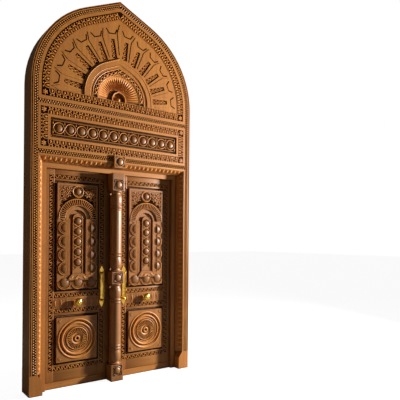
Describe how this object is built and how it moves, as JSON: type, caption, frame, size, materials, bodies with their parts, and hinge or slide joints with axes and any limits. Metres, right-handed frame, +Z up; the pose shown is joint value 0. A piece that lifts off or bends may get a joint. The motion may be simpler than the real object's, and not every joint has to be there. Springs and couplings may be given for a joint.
{
  "type": "double door",
  "caption": "Carved timber double door in a jointed frame with a boss over-panel, a pointed fan head, a turned centre post and brass pulls.",
  "frame": {"origin": "on the floor, under the middle of the centre post's foot", "axes": "+X across the doorway to the right as seen from the carved front, +Y from the front towards the back, +Z up"},
  "size_m": [1.82, 0.267, 4],
  "materials": {
    "frame_wood": "satin",
    "leaf_wood": "satin",
    "brass": "polished"
  },
  "bodies": {
    "frame": {"arch_left": "frame_wood", "arch_right": "frame_wood", "boss_panel": "frame_wood", "centre_post": "frame_wood", "fan_panel": "frame_wood", "fan_ring": "frame_wood", "head_border_left": "frame_wood", "head_border_right": "frame_wood", "head_border_sill": "frame_wood", "hinge_frame_plates_left": "brass", "hinge_frame_plates_right": "brass", "jamb_left": "frame_wood", "jamb_right": "frame_wood", "keystone": "frame_wood", "lintel": "frame_wood", "over_panel_end_left": "frame_wood", "over_panel_end_right": "frame_wood", "over_panel_rail_lower": "frame_wood", "over_panel_rail_upper": "frame_wood", "shell_panel": "frame_wood", "stop_head": "frame_wood", "stop_left": "frame_wood", "stop_right": "frame_wood", "threshold": "frame_wood", "transom": "frame_wood"},
    "leaf_left": {"bottom_rail_left": "leaf_wood", "handle_grip_left": "brass", "handle_plate_left": "brass", "hinge_leaf_plates_left": "brass", "hinge_stile_left": "leaf_wood", "knob_left": "brass", "knob_rose_left": "brass", "lock_rail_left": "leaf_wood", "lower_panel_left": "leaf_wood", "meeting_stile_left": "leaf_wood", "top_rail_left": "leaf_wood", "upper_panel_left": "leaf_wood"},
    "leaf_right": {"bottom_rail_right": "leaf_wood", "handle_grip_right": "brass", "handle_plate_right": "brass", "hinge_leaf_plates_right": "brass", "hinge_stile_right": "leaf_wood", "knob_right": "brass", "knob_rose_right": "brass", "lock_rail_right": "leaf_wood", "lower_panel_right": "leaf_wood", "meeting_stile_right": "leaf_wood", "top_rail_right": "leaf_wood", "upper_panel_right": "leaf_wood"}
  },
  "joints": [
    {"name": "leaf_left_hinge", "type": "hinge", "parent": "frame", "child": "leaf_left", "pos_m": [-0.7485, 0.13425, 0.33], "axis": [0, 0, 1], "range_deg": [0, 100]},
    {"name": "leaf_right_hinge", "type": "hinge", "parent": "frame", "child": "leaf_right", "pos_m": [0.7485, 0.13425, 0.33], "axis": [0, 0, -1], "range_deg": [0, 100]}
  ]
}
